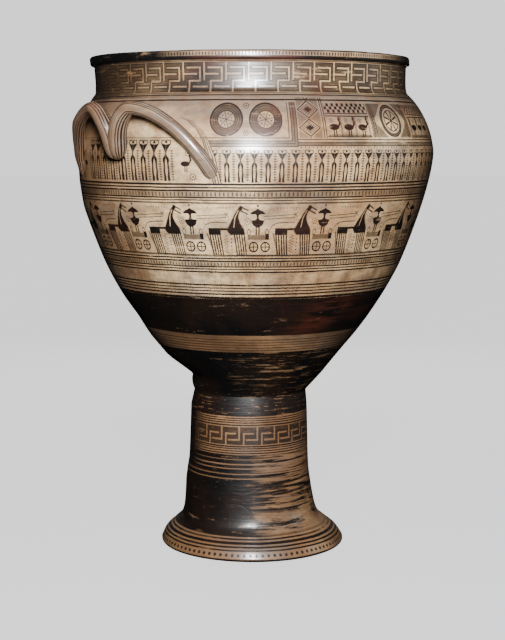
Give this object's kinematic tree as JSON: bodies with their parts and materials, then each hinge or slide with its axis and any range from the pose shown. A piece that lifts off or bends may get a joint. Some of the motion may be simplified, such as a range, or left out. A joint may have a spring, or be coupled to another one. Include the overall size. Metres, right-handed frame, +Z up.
{
  "type": "krater",
  "caption": "Tall painted clay mixing bowl with a low neck, two double-looped handles and a hollow pedestal foot.",
  "frame": {"origin": "centre of the ring that the foot stands on, on the ground plane", "axes": "+Z up along the vessel's own axis; the painted front faces -Y; the handles are at -X and +X"},
  "size_m": [0.9946, 0.907, 1.23],
  "materials": {
    "painted_clay": "satin"
  },
  "bodies": {
    "root": {"krater": "painted_clay"}
  },
  "joints": []
}
